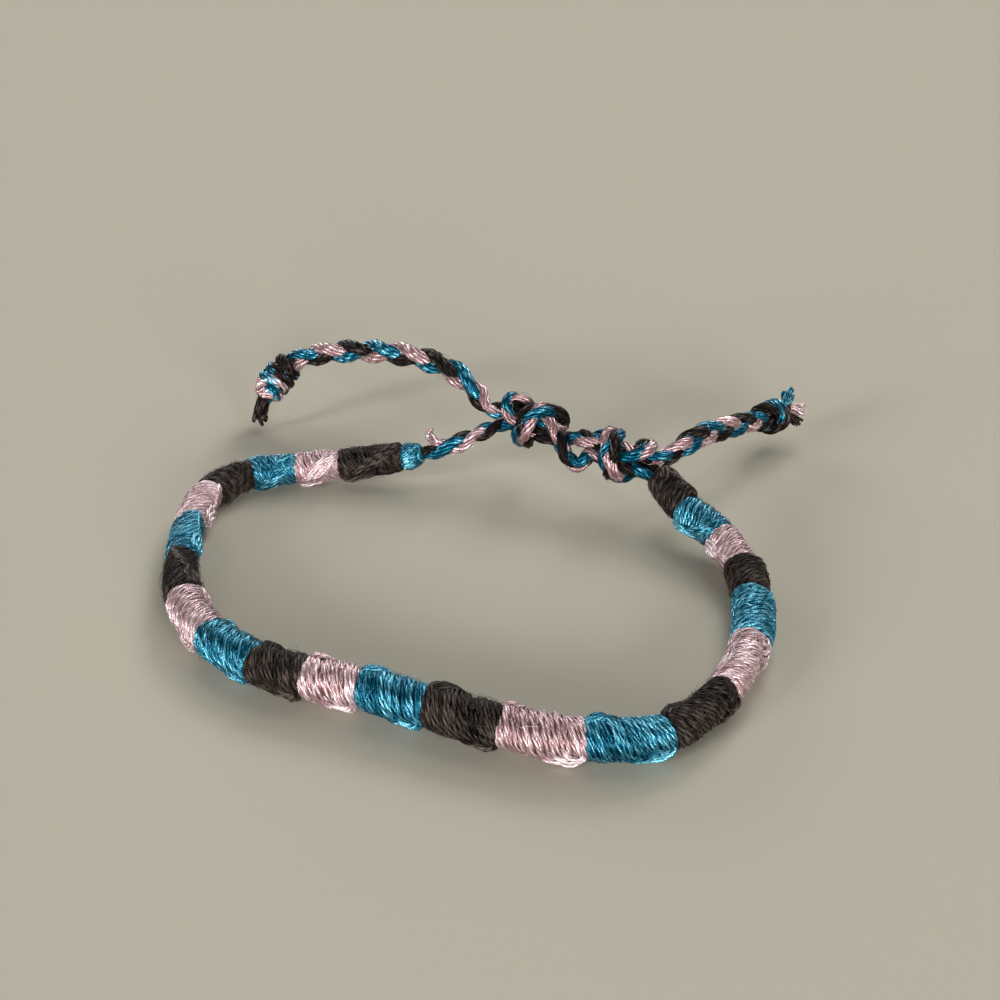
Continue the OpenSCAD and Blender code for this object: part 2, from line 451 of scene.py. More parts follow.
def write_lay(mesh: bpy.types.Mesh, filaments: list[Filament], sides: int) -> None:
    """Rewrites a swept mesh's UV map in millimetres along each filament, and adds its tones.

    Args:
        mesh: tubes in the filaments' order, with open ends.
        filaments: what was swept.
        sides: how many sides each tube has.
    """
    counts = [len(f.line) * sides for f in filaments]
    owner = np.repeat(np.arange(len(filaments)), counts)
    lengths = np.array([distances(f.line)[-1] for f in filaments])
    corners = np.zeros(len(mesh.loops), np.int32)
    mesh.loops.foreach_get("vertex_index", corners)
    layer = mesh.uv_layers[0]
    layer.name = "lay"
    uv = np.zeros(len(mesh.loops) * 2, np.float32)
    layer.data.foreach_get("uv", uv)
    uv[0::2] *= lengths[owner[corners]]
    layer.data.foreach_set("uv", uv)
    tones = [np.repeat(np.broadcast_to(f.tone, len(f.line)), sides) for f in filaments]
    tone = mesh.attributes.new("tone", "FLOAT", "POINT")
    tone.data.foreach_set("value", np.concatenate(tones).astype(np.float32))


def close_ends(mesh: bpy.types.Mesh) -> None:
    """Closes the open ends of a swept mesh's tubes, each in its tube's own material.

    Args:
        mesh: the tubes.
    """
    work = bmesh.new()
    work.from_mesh(mesh)
    rims = [e for e in work.edges if e.is_boundary]
    closed = bmesh.ops.holes_fill(work, edges=rims, sides=0)
    for cap in closed["faces"]:
        beside = [f for e in cap.edges for f in e.link_faces if f is not cap]
        cap.material_index = beside[0].material_index
    work.to_mesh(mesh)
    work.free()


def joined(name: str, meshes: list[bpy.types.Mesh], finishes: Finishes) -> bpy.types.Object:
    """Joins meshes into one object that stands at the origin and rides on the bracelet.

    Args:
        name: name of the piece.
        meshes: its meshes, which are used up.
        finishes: the materials, in the order of Colour.

    Returns:
        The piece.
    """
    work = bmesh.new()
    for mesh in meshes:
        work.from_mesh(mesh)
        bpy.data.meshes.remove(mesh)
    whole = bpy.data.meshes.new(name)
    work.to_mesh(whole)
    work.free()
    for finish in finishes:
        whole.materials.append(finish)
    piece = bpy.data.objects.new(name, whole)
    bpy.context.scene.collection.objects.link(piece)
    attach(piece, "root")
    return piece


@dataclass
class FibreShading:
    """The shader node group that every thread shares: fine twisted fibres, their relief and tone.

    Attributes:
        stretch: how much longer than wide the fibres' pattern is, as a share along the thread.
        tone_gap: how far apart filaments of different tones are in the pattern.
        fibre_scale: how fine the fibres are.
        cloud_scale: how fine the slow changes along a section are.
        cloud_share: how much those changes count in the tone.
        own_share: how much a filament's tone counts, with its painted shade and highlight.
        own_shift: what is added to it.
        ply_share: how much lighter the plies' crowns are than their grooves: painted highlight and shade.
        fibre_share: how much the fibres count.
        body_range: the tones between which the shade turns into the body's colour.
        glint_range: the tones between which that turns into the glint's.
        ply_relief: how much the plies count in the relief, beside the fibres.
        fibre_range: the fibres' values between which the roughness changes.
        rough_range: how much smoother and rougher they make the thread.
    """

    stretch: float = 0.35
    tone_gap: float = 37.0
    fibre_scale: float = 2.6
    cloud_scale: float = 420.0
    cloud_share: float = 0.3
    own_share: float = 0.5
    own_shift: float = -0.12
    ply_share: float = 0.3
    fibre_share: float = 0.8
    body_range: Span = (0.35, 0.95)
    glint_range: Span = (0.85, 1.3)
    ply_relief: float = 0.45
    fibre_range: Span = (0.3, 0.7)
    rough_range: Span = (-0.08, 0.1)

    def __post_init__(self) -> None:
        """Makes the group with its sockets, and fills it."""
        self.group = bpy.data.node_groups.new("thread_fibres", "ShaderNodeTree")
        for way, sockets in (
            ("INPUT", {"Vector": "Lay Place", "Float": "Tone Twist Gloss", "Color": "Shade Body Glint"}),
            ("OUTPUT", {"Color": "Colour", "Float": "Height Roughness"}),
        ):
            for kind, names in sockets.items():
                for name in names.split():
                    self.group.interface.new_socket(
                        name, in_out=way, socket_type=f"NodeSocket{kind}"
                    )
        self.fill()

    def node(self, kind: str, feeds: dict[str | int, object], **settings: object) -> bpy.types.Node:
        """Adds a node to the group.

        Args:
            kind: the node's type, without ShaderNode.
            feeds: a value or another node's output for each input, by its name or number.
            settings: the node's own properties.

        Returns:
            The node.
        """
        node = self.group.nodes.new(f"ShaderNode{kind}")
        for key, value in settings.items():
            setattr(node, key, value)
        for key, value in feeds.items():
            if isinstance(value, bpy.types.NodeSocket):
                self.group.links.new(value, node.inputs[key])
            else:
                node.inputs[key].default_value = value
        return node

    def sum(self, operation: str, *terms: bpy.types.NodeSocket | float) -> bpy.types.NodeSocket:
        """Does one sum on outputs and numbers, and gives its result's output."""
        return self.node("Math", dict(enumerate(terms)), operation=operation).outputs[0]

    def ranged(self, value: bpy.types.NodeSocket, *limits: float) -> bpy.types.NodeSocket:
        """Maps a value's range to 0 and 1, or to the last two limits, and gives the result's output."""
        return self.node("MapRange", dict(enumerate((value, *limits)))).outputs[0]

    def fill(self) -> None:
        """Adds the nodes: plies and fibres along the thread, then colour by tone and fibre."""
        given = self.group.nodes.new("NodeGroupInput").outputs
        put = self.group.nodes.new("NodeGroupOutput").inputs
        lay = self.node("SeparateXYZ", {0: given["Lay"]}).outputs
        ring = self.sum("MULTIPLY_ADD", lay[0], given["Twist"], lay[1])
        ring = self.sum("MULTIPLY", ring, math.tau)
        side, up = self.sum("SINE", ring), self.sum("COSINE", ring)
        along = self.sum("MULTIPLY", lay[0], self.stretch)
        thread = self.node("CombineXYZ", {0: along, 1: side, 2: up}).outputs[0]
        own = self.node("CombineXYZ", {0: given["Tone"]}).outputs[0]
        gap = self.node("VectorMath", {0: own, "Scale": self.tone_gap}, operation="SCALE").outputs[0]
        place = self.node("VectorMath", {0: thread, 1: gap}, operation="ADD").outputs[0]
        pattern = {"Vector": place, "Scale": self.fibre_scale, "Detail": 3.0, "Roughness": 0.6}
        fibres = self.node("TexNoise", pattern).outputs["Fac"]
        pattern = {"Vector": given["Place"], "Scale": self.cloud_scale, "Detail": 2.0}
        clouds = self.node("TexNoise", pattern).outputs["Fac"]
        # In the tone, crowns paint highlight on the plies' tops and shade in their grooves
        crowns = self.sum("ABSOLUTE", side)
        tone = self.sum("MULTIPLY_ADD", given["Tone"], self.own_share, self.own_shift)
        for part, share in (
            (clouds, self.cloud_share),
            (crowns, self.ply_share),
            (fibres, self.fibre_share),
        ):
            tone = self.sum("MULTIPLY_ADD", part, share, tone)
        # Low tones get the shade colour, painted shade; the highest get the glint, partly painted highlight
        colour = given["Shade"]
        for lighter, limits in (("Body", self.body_range), ("Glint", self.glint_range)):
            blend = {"Factor": self.ranged(tone, *limits), 6: colour, 7: given[lighter]}
            colour = self.node("Mix", blend, data_type="RGBA").outputs[2]
        height = self.sum("MULTIPLY_ADD", crowns, self.ply_relief, fibres)
        rough = self.ranged(fibres, *self.fibre_range, *self.rough_range)
        dull = self.sum("ADD", rough, given["Gloss"])
        for name, value in (("Colour", colour), ("Height", height), ("Roughness", dull)):
            self.group.links.new(value, put[name])


@dataclass(frozen=True)
class ThreadFinish:
    """The finish of one thread.

    Attributes:
        name: the material's name.
        shade: colour of its shadows.
        body: colour of most of it.
        glint: colour of its brightest fibres, partly their own lighter colour and partly painted highlight.
        roughness: how dull it is.
        silk: how much of its shine has its own colour.
        gloss: how strong the plain shine is.
        coat: how strong a thin gloss over it is.
        relief: how strongly plies and fibres stand out.
        twist: turns of the fibres in a millimetre.
        relief_depth: height of the relief, in millimetres.
        coat_roughness: how dull the thin gloss is.
    """

    name: str
    shade: Rgb
    body: Rgb
    glint: Rgb
    roughness: float
    silk: float
    gloss: float
    coat: float = 0.0
    relief: float = 0.9
    twist: float = 0.42
    relief_depth: float = 0.05
    coat_roughness: float = 0.18

    def make(self, shading: FibreShading) -> bpy.types.Material:
        """Makes the thread's material.

        Args:
            shading: the shared group of fibres.

        Returns:
            The material.
        """
        material = bpy.data.materials.new(self.name)
        material.use_nodes = True
        nodes, links = material.node_tree.nodes, material.node_tree.links
        shader = nodes["Principled BSDF"]
        lay = nodes.new("ShaderNodeUVMap")
        lay.uv_map = "lay"
        place = nodes.new("ShaderNodeTexCoord")
        tone = nodes.new("ShaderNodeAttribute")
        tone.attribute_name = "tone"
        fibres = nodes.new("ShaderNodeGroup")
        fibres.node_tree = shading.group
        fibres.inputs["Twist"].default_value = self.twist
        fibres.inputs["Gloss"].default_value = self.roughness
        for socket, colour in (("Shade", self.shade), ("Body", self.body), ("Glint", self.glint)):
            fibres.inputs[socket].default_value = (*colour, 1.0)
        links.new(lay.outputs["UV"], fibres.inputs["Lay"])
        links.new(place.outputs["Object"], fibres.inputs["Place"])
        links.new(tone.outputs["Fac"], fibres.inputs["Tone"])
        bump = nodes.new("ShaderNodeBump")
        bump.inputs["Strength"].default_value = self.relief
        bump.inputs["Distance"].default_value = self.relief_depth * MM
        links.new(fibres.outputs["Height"], bump.inputs["Height"])
        links.new(fibres.outputs["Colour"], shader.inputs["Base Color"])
        links.new(fibres.outputs["Roughness"], shader.inputs["Roughness"])
        links.new(bump.outputs["Normal"], shader.inputs["Normal"])
        shader.inputs["Metallic"].default_value = self.silk
        shader.inputs["Specular IOR Level"].default_value = self.gloss
        shader.inputs["Coat Weight"].default_value = self.coat
        shader.inputs["Coat Roughness"].default_value = self.coat_roughness
        return material


FINISHES = (
    ThreadFinish(
        "teal_silk",
        shade=(0.0005, 0.024, 0.042),
        body=(0.002, 0.108, 0.182),
        glint=(0.29, 0.82, 1.0),
        roughness=0.25,
        silk=0.74,
        gloss=0.1,
        coat=0.06,
    ),
    ThreadFinish(
        "brown_cotton",
        shade=(0.001, 0.0007, 0.0005),
        body=(0.0075, 0.0053, 0.0044),
        glint=(0.15, 0.115, 0.095),
        roughness=0.38,
        silk=0.2,
        gloss=0.08,
        relief=1.0,
    ),
    ThreadFinish(
        "pink_silk",
        shade=(0.155, 0.073, 0.073),
        body=(0.45, 0.285, 0.295),
        glint=(1.0, 0.88, 0.9),
        roughness=0.27,
        silk=0.62,
        gloss=0.3,
        coat=0.2,
    ),
)


@dataclass(frozen=True)
class CoreFinish:
    """The finish of the bundled strands inside the band: matte dark brown with fine streaks.

    Attributes:
        name: the material's name.
        dark: colour of its darkest streaks.
        light: colour of its lightest ones.
        streak_scale: how fine the streaks are.
        relief: how strongly they stand out.
        relief_depth: height of that relief, in millimetres.
        roughness: how dull the strands are.
    """

    name: str = "core_threads"
    dark: Rgb = (0.01, 0.007, 0.006)
    light: Rgb = (0.12, 0.085, 0.07)
    streak_scale: float = 2600.0
    relief: float = 0.8
    relief_depth: float = 0.08
    roughness: float = 0.75

    def make(self) -> bpy.types.Material:
        """Makes the material.

        Returns:
            The material.
        """
        material = bpy.data.materials.new(self.name)
        material.use_nodes = True
        nodes, links = material.node_tree.nodes, material.node_tree.links
        shader = nodes["Principled BSDF"]
        place = nodes.new("ShaderNodeTexCoord")
        streaks = nodes.new("ShaderNodeTexNoise")
        streaks.inputs["Scale"].default_value = self.streak_scale
        streaks.inputs["Detail"].default_value = 2.0
        tints = nodes.new("ShaderNodeValToRGB")
        tints.color_ramp.elements[0].color = (*self.dark, 1)
        tints.color_ramp.elements[1].color = (*self.light, 1)
        bump = nodes.new("ShaderNodeBump")
        bump.inputs["Strength"].default_value = self.relief
        bump.inputs["Distance"].default_value = self.relief_depth * MM
        links.new(place.outputs["Object"], streaks.inputs["Vector"])
        links.new(streaks.outputs["Fac"], tints.inputs["Fac"])
        links.new(tints.outputs["Color"], shader.inputs["Base Color"])
        links.new(streaks.outputs["Fac"], bump.inputs["Height"])
        links.new(bump.outputs["Normal"], shader.inputs["Normal"])
        shader.inputs["Roughness"].default_value = self.roughness
        return material


@dataclass(frozen=True)
class LastHitches:
    """The last hitches of a section's ridge, whose loose loops run side by side to its end.

    Attributes:
        count: how many there are.
        length: how far back from the section's end they may start, in millimetres.
        first: where the first one starts, as a share of that length from the end.
        step: how much later each next one starts.
        end: where they all end, as a share of the section.
        gap: how far apart they lie, in degrees round the section.
        draw_in: how much closer they lie at their ends.
        shift: how far they lie past the ridge, in degrees.
        bow: how far they bend back from there on their way, in degrees.
        root: how deep their ends lie, in millimetres.
        height: how far they rise from there.
        swell: how much thicker they are than other winds.
        tone: their tone.
        rise_over: share of their way in which they rise.
        sink_over: share of it in which they sink again.
        bow_turn: how much of a bow they make, in half turns.
        first_spread: how unevenly they start.
        fan_spread: how unevenly they lie, in degrees.
        height_spread: how unevenly high they are, from least to most.
        tone_spread: how much their tones differ.
        places: how many places each has.
    """

    count: int = 4
    length: float = 5.0
    first: float = 0.78
    step: float = 0.12
    end: float = 0.985
    gap: float = 17.0
    draw_in: float = 0.35
    shift: float = 6.0
    bow: float = 26.0
    root: float = 0.2
    height: float = 0.26
    swell: float = 1.08
    # tone: their tone, lighter than the winds': a painted highlight.
    tone: float = 0.9
    rise_over: float = 0.25
    sink_over: float = 0.14
    bow_turn: float = 0.8
    first_spread: float = 0.05
    fan_spread: float = 2.0
    height_spread: Span = (-0.03, 0.05)
    tone_spread: float = 0.15
    places: int = 22


@dataclass(frozen=True)
class Hairs:
    """The stray fibres of a section. A pair holds the least and the most that is drawn.

    Attributes:
        counts: how many a section has, in the order of Colour.
        start: where they start along it, as shares of it.
        angle: where they start round it, in degrees.
        run: how far they run along it, as a share of it.
        swing: how far they run round it, in degrees.
        bounds: the shares of it between which they stay.
        lift: how far they stand off it, in millimetres.
        least_lift: how far each does at least.
        most_lift: how far any may.
        bow_turn: how much of a bow they make, in half turns.
        root: how deep they start, in millimetres.
        lowest: how far they stay above the surface under the bracelet.
        radius: their radius, in millimetres.
        tone: their tone.
        places: how many places each has.
    """

    counts: tuple[int, int, int] = (50, 220, 70)
    start: Span = (0.05, 0.95)
    angle: Span = (-90, 270)
    run: float = 0.12
    swing: float = 34.0
    bounds: Span = (0.02, 0.98)
    lift: float = 0.18
    least_lift: float = 0.03
    most_lift: float = 0.55
    bow_turn: Span = (0.55, 1.0)
    root: float = 0.06
    lowest: float = 0.05
    radius: Span = (0.012, 0.021)
    tone: Span = (0.5, 1.1)
    places: int = 6


@dataclass
class WrappedBand:
    """The band's wrapped sections, each wound in thread with a spiral ridge of hitches.

    Attributes:
        finishes: the materials, in the order of Colour.
        pitch: distance from wind to wind, in millimetres.
        fewest_winds: the winds that a short section has at least.
        ply_gap: distance between the middles of a thread's two plies.
        ply_r: radius of a ply.
        ply_pitch: length in which the plies go round each other once.
        slant: how far a wind runs along the section while it goes round it.
        hitch_share: share of a wind at each of its ends that its hitch takes up.
        hitch_lift: how far a hitch stands up.
        hitch_swell: how much thicker the thread is there.
        hitch_places: places on each half of a hitch.
        wind_places: places on the rest of a wind.
        ridge_h: height of the ridge.
        ridge_w: half its breadth, in degrees.
        ridge_fade: how much lower it is at the section's end.
        fade_from: where along the section it starts to get lower.
        full_r: the section's radius from which the ridge has its whole height.
        shoulder_drop: how much thinner a section is at its ends.
        shoulder_power: how sharply it gets thinner there.
        end_drop: how much of its cross-section the last section loses at its end.
        end_from: where along it that starts.
        thread_ends: where the band's first winds start and its last ones end, in sections.
        edge_turn: how softly winds turn back at a section's ends, in millimetres.
        dive: how deep the winds there dive under their neighbours.
        dive_from: how far a wind is pressed back before it dives.
        dive_over: how much further it is pressed back when it is down.
        slack: how far winds stray along the section.
        slack_swell: how much thicker a slack wind is.
        proud: how far winds stray outwards.
        lumps: how uneven the section is.
        highest_lump: how far its lumps may stand out.
        marks_a_wind: how many times in a wind its slack and stray are drawn.
        winds_a_lump: how many winds lie from lump to lump.
        fewest_lumps: the lumps that a short section has at least.
        most_uneven: how many times its usual amount a wind's stray may be.
        tone: the winds' tone.
        tone_spread: how much lighter a proud wind is, and darker a sunk one: painted highlight and shade.
        dive_shade: how much darker a wind gets for each millimetre that it dives.
        sleeve_ends: where the closed body under the winds starts and ends, as shares of a section.
        sleeve_depth: how deep it lies.
        sleeve_tone: its tone, low enough to take the shade colour: painted shade between the winds.
        sleeve_places: how many places it has.
        span_places: the places at which a section is measured.
        last_hitches: the ridge's last hitches.
        hairs: the stray fibres.
        seed: what its random draws start from.
    """

    finishes: Finishes
    pitch: float = 0.425
    fewest_winds: int = 7
    ply_gap: float = 0.2
    ply_r: float = 0.142
    ply_pitch: float = 3.4
    slant: float = 4.0
    hitch_share: float = 0.05
    hitch_lift: float = 0.13
    hitch_swell: float = 0.12
    hitch_places: int = 5
    wind_places: int = 26
    ridge_h: float = 0.27
    ridge_w: float = 26.0
    ridge_fade: float = 0.5
    fade_from: float = 0.75
    full_r: float = 2.0
    shoulder_drop: float = 0.13
    shoulder_power: int = 5
    end_drop: float = 0.75
    end_from: float = 0.84
    thread_ends: Span = (0.02, 0.985)
    edge_turn: float = 0.3
    dive: float = 0.45
    dive_from: float = 0.1
    dive_over: float = 1.4
    slack: float = 0.07
    slack_swell: float = 0.07
    proud: float = 0.03
    lumps: float = 0.06
    highest_lump: float = 0.05
    marks_a_wind: int = 3
    winds_a_lump: int = 3
    fewest_lumps: int = 4
    most_uneven: float = 1.2
    tone: float = 0.5
    tone_spread: float = 0.2
    dive_shade: float = 0.8
    sleeve_ends: Span = (0.015, 0.985)
    sleeve_depth: float = 0.2
    sleeve_tone: float = -0.8
    sleeve_places: int = 16
    span_places: int = 20
    last_hitches: LastHitches = LastHitches()
    hairs: Hairs = Hairs()
    seed: int = 7

    def __post_init__(self) -> None:
        """Sets the centreline and the seeded source of small irregularities."""
        self.route = Route(BAND)
        self.last = len(BAND) - 2
        self.chance = np.random.default_rng(self.seed)

    def span(self, index: int) -> float:
        """Measures a section's length in millimetres."""
        line = self.route.at(np.linspace(index, index + 1, self.span_places))[:, :3]
        return float(distances(line)[-1])

    def ridge_at(self, index: int, t: np.ndarray) -> np.ndarray:
        """Finds where a section's ridge is, in degrees round it, at shares of the way along it."""
        first, last = RIDGES[index]
        return first + (last - first) * np.clip(t, 0, 1)

    def surface_r(self, index: int, t: np.ndarray, angle: np.ndarray) -> np.ndarray:
        """Finds how far a section's surface is from its centreline.

        Args:
            index: number of the section from 0.
            t: share of the way along it.
            angle: degrees round it, from the loop's outer side over the top.

        Returns:
            The radii in millimetres.
        """
        half = self.route.at(index + np.clip(t, 0, 1))[:, 3] / 2
        off = (angle - self.ridge_at(index, t) + 540) % 360 - 180
        from_middle = np.abs(2 * np.clip(t, 0, 1) - 1)
        shoulder = 1 - self.shoulder_drop * from_middle**self.shoulder_power
        if index == self.last:
            closing = smooth((t - self.end_from) / (1 - self.end_from))
            shoulder = shoulder * np.sqrt(1 - self.end_drop * closing)
        ridge = self.ridge_h * np.minimum(1, half / self.full_r) * np.exp(-((off / self.ridge_w) ** 2))
        fade = self.ridge_fade * smooth((t - self.fade_from) / (1 - self.fade_from))
        return half * shoulder + ridge * (1 - fade)

    def lifted(
        self, index: int, t: np.ndarray, angle: np.ndarray, radius: np.ndarray
    ) -> tuple[np.ndarray, np.ndarray]:
        """Turns places on a section into points.

        Args:
            index: number of the section from 0.
            t: share of the way along it.
            angle: degrees round it, from the loop's outer side over the top.
            radius: distance from its centreline.

        Returns:
            The points in millimetres, and the direction out of the section at each.
        """
        s = np.clip(index + t, 0, self.last + 1)
        along = self.route.heading(s)
        out = unit(np.cross(along, UP))
        up = np.cross(out, along)
        turn = np.radians(angle)
        aside = np.cos(turn)[:, None] * out + np.sin(turn)[:, None] * up
        return self.route.at(s)[:, :3] + radius[:, None] * aside, aside

    def uneven(self, w: np.ndarray, marks: np.ndarray) -> np.ndarray:
        """Draws how uneven the winds are.

        Args:
            w: places counted in winds.
            marks: the places for which a number is drawn.

        Returns:
            A number for each place, usually between -1 and 1.
        """
        drawn = np.clip(self.chance.normal(0, 1, len(marks)), -self.most_uneven, self.most_uneven)
        return np.interp(w, marks, drawn)

    def zigzag(self, turn: np.ndarray) -> np.ndarray:
        """Finds how far winds are before or behind their middles, as a share of their slant.

        Args:
            turn: share of the way round the section.

        Returns:
            Shares that fall at a slant round the section, and rise again in its hitches.
        """
        g = self.hitch_share
        reach = 0.5 - g
        path = np.where(turn < g, reach * np.sin(np.pi / 2 * turn / g), 0.5 - turn)
        return np.where(turn > 1 - g, -reach * np.sin(np.pi / 2 * (1 - turn) / g), path)

    def pressed(self, index: int, t: np.ndarray) -> np.ndarray:
        """Finds how far a section's ends press its winds back.

        Args:
            index: number of the section from 0.
            t: share of the way along it.

        Returns:
            Two rows in millimetres, one for its start and one for its end.
        """
        first = self.thread_ends[0] if index == 0 else 0
        last = self.thread_ends[1] if index == self.last else 1
        room = np.array([t - first, last - t]) * self.span(index)
        held = self.edge_turn * np.logaddexp(0, room / self.edge_turn)
        return held - np.minimum(room, held)

    def wound(self, index: int, colour: Colour) -> list[Filament]:
        """Winds a section in thread.

        Each wind lies at a slant round the section, comes back along it in a hitch over the
        ridge, and dives under the neighbours at the section's ends.

        Args:
            index: number of the section from 0.
            colour: the thread's colour.

        Returns:
            The thread's plies.
        """
        span, g = self.span(index), self.hitch_share
        overlap = self.slant * (0.5 - g)
        spiral = (RIDGES[index][1] - RIDGES[index][0]) / 360 * self.slant / span
        winds = max(self.fewest_winds, round((span + 2 * overlap) * (1 + spiral) / self.pitch))
        stretches = ((0, g, self.hitch_places), (g, 1 - g, self.wind_places), (1 - g, 1, self.hitch_places))
        one = np.concatenate([np.linspace(*stretch, endpoint=False) for stretch in stretches])
        w = (np.arange(winds)[:, None] + one).ravel()
        turn = w % 1.0
        share = (w / winds * (span + 2 * overlap) - overlap) / span
        marks = np.linspace(0, winds, winds * self.marks_a_wind + 1)
        loose, high = self.uneven(w, marks), self.uneven(w, marks)
        t = share + (self.slant * self.zigzag(turn) + self.slack * loose) / span
        pressed = self.pressed(index, t)
        t = t + (pressed[0] - pressed[1]) / span
        ridge = self.ridge_at(index, share)
        angle = ridge + 360 * w
        wide_marks = np.linspace(0, winds, max(self.fewest_lumps, winds // self.winds_a_lump))
        lump = np.interp(w, wide_marks, self.chance.normal(0, 1, len(wide_marks)))
        lump = self.lumps * (lump + np.sin(np.radians(2 * angle) + self.chance.uniform(*PHASES)))
        hitch = np.exp(-((np.minimum(turn, 1 - turn) / g) ** 2))
        sunk = self.dive * smooth((pressed.sum(axis=0) - self.dive_from) / self.dive_over)
        radius = self.surface_r(index, t, ridge + 360 * turn) - self.ply_r - self.ply_gap / 4
        radius += self.proud * high + self.hitch_lift * hitch + np.minimum(lump, self.highest_lump) - sunk
        middle, aside = self.lifted(index, t, angle, radius)
        thick = self.ply_r * (1 + self.slack_swell * loose + self.hitch_swell * hitch)
        # Proud winds are painted lighter and sunk or diving ones darker: painted highlight and shade
        tone = self.tone + self.tone_spread * high - self.dive_shade * sunk
        return self.plies(middle, aside, thick, colour, tone)

    def plies(
        self,
        middle: np.ndarray,
        aside: np.ndarray,
        thick: np.ndarray,
        colour: Colour,
        tone: float | np.ndarray,
    ) -> list[Filament]:
        """Lays a thread's two plies twisted round each other.

        Args:
            middle: places on the thread's middle.
            aside: the direction out of the band at each place.
            thick: the plies' radius at each place.
            colour: the thread's colour.
            tone: its tone, one for all or one a place.

        Returns:
            The two plies.
        """
        across = unit(np.cross(unit(np.gradient(middle, axis=0)), aside))
        first, laid = self.chance.uniform(*PHASES), []
        for k in range(2):
            twist = first + 2 * np.pi * (distances(middle) / self.ply_pitch + k / 2)
            line = set_round(middle, self.ply_gap / 2, twist, across, aside)
            line[:, 2] = np.maximum(line[:, 2], self.ply_r)
            laid.append(Filament(line, thick, colour, tone))
        return laid

    def sleeve(self, index: int, colour: Colour) -> Filament:
        """Makes the closed body just under a section's winds, so that nothing shows through.

        Args:
            index: number of the section from 0.
            colour: the thread's colour.

        Returns:
            The body, as one thick filament.
        """
        t = np.linspace(*self.sleeve_ends, self.sleeve_places)
        radius = self.surface_r(index, t, self.ridge_at(index, t) + 180) - self.sleeve_depth
        # Its low tone paints it in the shade colour: painted shade in the gaps between winds
        return Filament(self.route.at(index + t)[:, :3], radius, colour, self.sleeve_tone)

    def hitches(self, index: int, colour: Colour) -> list[Filament]:
        """Lays the last hitches of a section's ridge.

        Args:
            index: number of the section from 0.
            colour: the thread's colour.

        Returns:
            Their plies.
        """
        own = self.last_hitches
        u, loops = np.linspace(0, 1, own.places), []
        share = min(1.0, own.length / self.span(index))
        rise = smooth(u / own.rise_over) * smooth((1 - u) / own.sink_over)
        thick = np.full(own.places, self.ply_r * own.swell)
        for k in range(own.count):
            first = own.first - own.step * k + self.chance.uniform(-own.first_spread, own.first_spread)
            t = 1 - share * first
            t = t + (own.end - t) * u
            fan = own.gap * (k - (own.count - 1) / 2) * (1 - own.draw_in * u)
            fan = fan + self.chance.normal(0, own.fan_spread)
            angle = RIDGES[index][1] + fan + own.shift - own.bow * np.sin(np.pi * u * own.bow_turn)
            height = own.height + self.chance.uniform(*own.height_spread)
            radius = self.surface_r(index, t, angle) - own.root + height * rise
            middle, aside = self.lifted(index, t, angle, radius)
            # Loops painted lighter than the winds as highlight, and darker at their sunk ends as painted
            # shade
            tone = own.tone + own.tone_spread * self.chance.uniform(-1, 1) - (1 - rise)
            loops += self.plies(middle, aside, thick, colour, tone)
        return loops

    def stray(self, index: int, colour: Colour) -> list[Filament]:
        """Pulls stray fibres out of a section's winds.

        Args:
            index: number of the section from 0.
            colour: the thread's colour.

        Returns:
            Short thin fibres that start and mostly end in the thread.
        """
        own = self.hairs
        u, hairs = np.linspace(0, 1, own.places), []
        for _ in range(own.counts[colour.value]):
            t0, angle0 = self.chance.uniform(*own.start), self.chance.uniform(*own.angle)
            run, swing = self.chance.normal(0, own.run), self.chance.normal(0, own.swing)
            lift = min(abs(self.chance.normal(0.0, own.lift)) + own.least_lift, own.most_lift)
            t = np.clip(t0 + run * u, *own.bounds)
            angle = angle0 + swing * u
            bow = np.sin(np.pi * u * self.chance.uniform(*own.bow_turn)) * lift
            line, _ = self.lifted(index, t, angle, self.surface_r(index, t, angle) - own.root + bow)
            line[:, 2] = np.maximum(line[:, 2], own.lowest)
            thin = np.full(own.places, self.chance.uniform(*own.radius))
            hairs.append(Filament(line, thin, colour, float(self.chance.uniform(*own.tone))))
        return hairs

    def build(self) -> None:
        """Builds every section and puts it in its CAD sleeve's place."""
        for index in range(self.last + 1):
            colour = Colour(index % len(Colour))
            node = f"wrap_{index + 1:02d}_{colour.name.lower()}"
            name = f"winds_{index + 1:02d}_{colour.name.lower()}"
            thread = self.wound(index, colour) + self.hitches(index, colour)
            meshes = [
                swept_mesh(name + "_thread", thread, THREAD_STEPS, self.finishes),
                swept_mesh(name + "_sleeve", [self.sleeve(index, colour)], SLEEVE_STEPS, self.finishes),
                swept_mesh(name + "_stray", self.stray(index, colour), HAIR_STEPS, self.finishes),
            ]
            piece = joined(name, meshes, self.finishes)
            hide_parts(node)
            LOG.info("%s: %d faces", name, len(piece.data.polygons))

    def dress_core(self) -> None:
        """Gives the strands inside the band their finish."""
        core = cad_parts["core_cord"]
        core.data.materials.clear()
        core.data.materials.append(CoreFinish().make())
        LOG.info("core_cord: dressed")


def knot_rows(table: list[Point], middle: Point, way: int, roll: float) -> list[Row]:
    """Turns a closing knot's table into places round its middle.

    Args:
        table: rows of along, out and degrees.
        middle: the knot's middle.
        way: 1 or -1, the direction in which the table is run along the knots' common axis.
        roll: degrees that the knot is rolled round the axis.

    Returns:
        Rows of x, y, z and diameter.
    """
    axis = unit(np.subtract(RIGHT_KNOT, LEFT_KNOT))
    front = unit(np.array([axis[1], -axis[0], 0.0]))
    up = np.cross(front, axis)
    rows = []
    for along, out, degrees in table:
        turn = math.radians(degrees + roll)
        aside = math.cos(turn) * front + math.sin(turn) * up
        place = np.array(middle) + KNOT_SCALE * (way * along * axis + out * aside)
        rows.append((*place, KNOTTED_D))
    return rows


